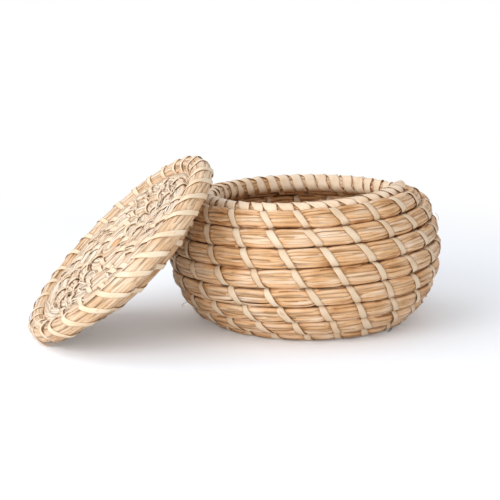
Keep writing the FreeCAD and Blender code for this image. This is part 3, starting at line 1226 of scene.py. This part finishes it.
def makeLidScruff(face):
    rng = random.Random(lidScruff["seed"])
    shape = {"points": [], "faces": [], "tones": []}
    for look in scruffKinds:
        for i in range(look["count"]):
            turn = -lidTurns + (lidTurns + lidScruff["past"]) * math.sqrt(rng.uniform(lidScruff["from"], 1.0))
            theta = rng.uniform(-lidScruff["theta"], lidScruff["theta"])
            root, t, n, b = onBundle(face, turn, theta, lidScruff["lift"])
            length = rng.uniform(*look["length"]) * mm
            rise = rng.uniform(*look["rise"]) * mm
            swing = rng.gauss(*look["swing"])
            way = t * math.cos(swing) + b * math.sin(swing)
            end = root + way * length + n * rise * look["end"]
            middle = root + way * length * 0.5 + n * rise * 2 + b * rng.gauss(0, lidScruff["sway"]) * mm
            width = rng.uniform(*look["width"]) * mm
            tone = rng.uniform(*lidScruff["tone"])
            points = arcPoints(root, middle, end, lidScruff["steps"])
            addFibre(shape, points, width, lidScruff["thick"] * mm, n, tone)
    makeFibres("lid-face-fibres", shape, "lid", faceStraw)


# single fibres that stand out in the photo: where they leave the wall, and how they run
strays = [
    {"turn": 6.02, "theta": 0.2, "along": 9, "out": 3, "rise": 6, "width": 0.5},
    {"turn": 0.955, "theta": 0.6, "along": -24, "out": 3.2, "rise": 2, "width": 1.1},
    {"turn": 0.83, "theta": 0.4, "along": 13, "out": 4, "rise": -2, "width": 0.5},
    {"turn": 2.74, "theta": -0.6, "along": -3, "out": 3, "rise": 7, "width": 0.6},
    {"turn": 2.56, "theta": 0.5, "along": -12, "out": 5, "rise": -6, "width": 0.5},
]
strayLook = {"lift": -0.8, "bendAt": 0.6, "bendOut": 2.2, "thick": 0.35, "steps": 12, "tone": 0.5}
wallHairs = {
    "count": 110, "from": 0.2, "theta": 1.1, "lift": -0.6, "length": (5, 16), "swing": 0.25,
    "out": (0.2, 1.6), "bulge": 0.9, "width": (0.25, 0.55), "thick": 0.2, "tone": (-0.4, 0.9), "seed": 19,
}
tornLimb = {
    "count": 150, "from": 2, "near": 0.02, "spread": 0.03, "theta": 1.3, "lift": -0.5, "length": (4, 10),
    "swing": 0.35, "out": (0.0, 1.2), "bulge": 0.8, "width": (0.8, 2.1), "thick": 0.25,
    "tone": (-0.9, 0.8), "seed": 23,
}
rimTies = {
    "count": 16, "span": (0.004, 0.045), "theta": (-1.6, 1.2), "lift": 0.2,
    "slip": (0.006, 0.012), "endTheta": (-0.6, 0.9), "endLift": 0.1,
    "rise": (0.5, 2.4), "sway": 3, "width": (1.2, 3.4), "thick": 0.3, "steps": 10, "tone": (0.5, 1.0),
}
looseSteps = 6


def makeRimTies(shape, track, rng):
    for i in range(rimTies["count"]):
        turn = basket["turns"] + 1 - rng.uniform(*rimTies["span"])
        start, t, n, b = onBundle(track, turn, rng.uniform(*rimTies["theta"]), rimTies["lift"])
        below = turn - 1 + rng.gauss(*rimTies["slip"])
        end, _, low, _ = onBundle(track, below, rng.uniform(*rimTies["endTheta"]), rimTies["endLift"])
        rise = rng.uniform(*rimTies["rise"])
        middle = (start + end) / 2 + (n + low) * rise * mm + t * rng.gauss(0, rimTies["sway"]) * mm
        width = rng.uniform(*rimTies["width"]) * mm
        tone = rng.uniform(*rimTies["tone"])
        points = arcPoints(start, middle, end, rimTies["steps"])
        addFibre(shape, points, width, rimTies["thick"] * mm, n, tone)


def addLoose(shape, track, turn, look, rng):
    root, t, n, b = onBundle(track, turn, rng.uniform(-look["theta"], look["theta"]), look["lift"])
    length = rng.uniform(*look["length"]) * mm
    way = (t + b * rng.gauss(0, look["swing"])).normalized() * rng.choice((-1, 1))
    end = root + way * length + n * rng.uniform(*look["out"]) * mm
    middle = root + way * length * 0.5 + n * look["bulge"] * mm
    width = rng.uniform(*look["width"]) * mm
    tone = rng.uniform(*look["tone"])
    addFibre(shape, arcPoints(root, middle, end, looseSteps), width, look["thick"] * mm, n, tone)


def addStray(shape, track, stray):
    root, t, n, b = onBundle(track, stray["turn"], stray["theta"], strayLook["lift"])
    along, out = t * stray["along"], n * stray["out"]
    end = root + along * mm + out * mm - b * stray["rise"] * mm
    middle = root + along * strayLook["bendAt"] * mm + out * strayLook["bendOut"] * mm
    width, thick = stray["width"] * mm, strayLook["thick"] * mm
    addFibre(shape, arcPoints(root, middle, end, strayLook["steps"]), width, thick, n, strayLook["tone"])


def makeWallFibres(track):
    rng = random.Random(wallHairs["seed"])
    shape = {"points": [], "faces": [], "tones": []}
    makeRimTies(shape, track, rng)
    for stray in strays:
        addStray(shape, track, stray)
    for i in range(wallHairs["count"]):
        addLoose(shape, track, rng.uniform(wallHairs["from"], basket["turns"]), wallHairs, rng)
    rng = random.Random(tornLimb["seed"])
    for i in range(tornLimb["count"]):
        course = rng.randrange(tornLimb["from"], basket["turns"])
        turn = course + tornLimb["near"] + rng.gauss(0, tornLimb["spread"])
        addLoose(shape, track, turn, tornLimb, rng)
    makeFibres("wall-fibres", shape, "basket", wallStraw)


makeWallFibres(basketTrack)
makeLidScruff(faceTrack)
print("loose fibres made")

for node in ("base_centre_knot", "lid_centre_knot"):
    frame["nodes"][node].data.materials.clear()
    frame["nodes"][node].data.materials.append(wallStraw)

for group in stripGroups.values():
    for spare in list(group.objects):
        bpy.data.objects.remove(spare)
    bpy.data.collections.remove(group)

meshes = [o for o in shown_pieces() if o.type == "MESH"]
triangles = {o.name: sum(len(p.vertices) - 2 for p in o.data.polygons) for o in meshes}
print("triangles:", sum(triangles.values()), "most:", max(triangles.items(), key=lambda row: row[1]))
